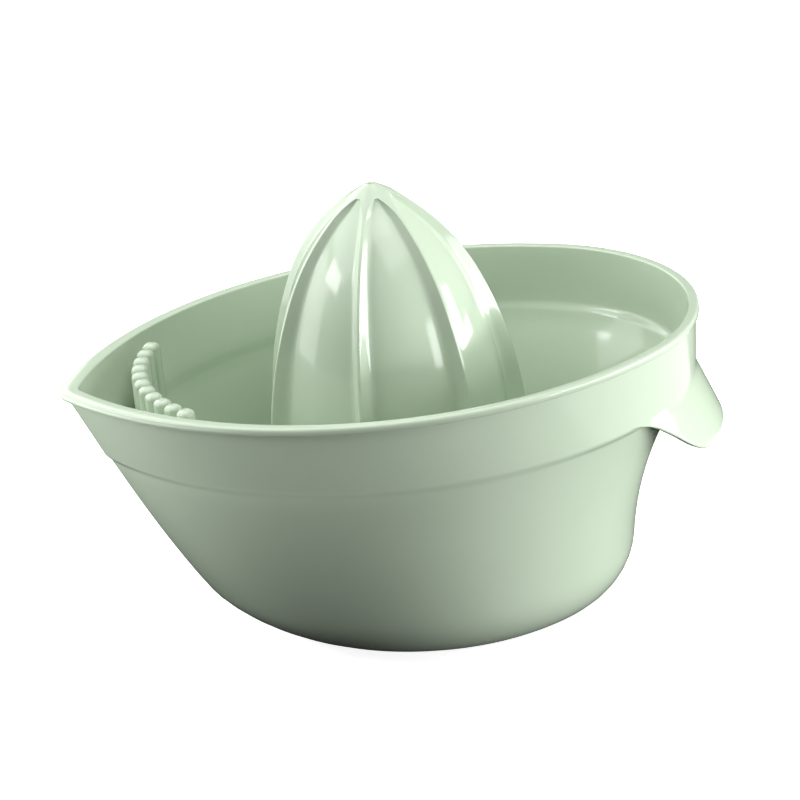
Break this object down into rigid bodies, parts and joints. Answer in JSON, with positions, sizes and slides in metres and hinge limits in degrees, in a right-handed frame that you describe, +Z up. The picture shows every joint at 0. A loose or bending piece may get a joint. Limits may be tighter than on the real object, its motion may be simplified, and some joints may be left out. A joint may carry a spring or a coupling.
{
  "type": "citrus juicer",
  "caption": "Teardrop juicer bowl with a pouring spout, a raised rim band and a thumb flap, a lift-off ribbed reamer cone and a lift-out strainer comb across the spout.",
  "frame": {"origin": "on the table under the axis of the reamer cone, which is the middle of the foot ring", "axes": "+Z up along the cone, +X towards the thumb flap, -X towards the point of the spout, -Y the side that faces the viewer"},
  "size_m": [0.1862, 0.1264, 0.1277],
  "materials": {
    "sage_plastic": "gloss, pale sage green",
    "soft_ring": "matt, grey green"
  },
  "bodies": {
    "bowl": {"bowl": "sage_plastic", "foot_ring": "soft_ring"},
    "reamer": {"reamer": "sage_plastic"},
    "strainer": {"strainer": "sage_plastic"}
  },
  "joints": [
    {"name": "reamer_lift", "type": "slide", "parent": "bowl", "child": "reamer", "axis": [0, 0, 1], "range_m": [0, 0.085]},
    {"name": "strainer_lift", "type": "slide", "parent": "bowl", "child": "strainer", "axis": [0, 0, 1], "range_m": [0, 0.04]}
  ]
}
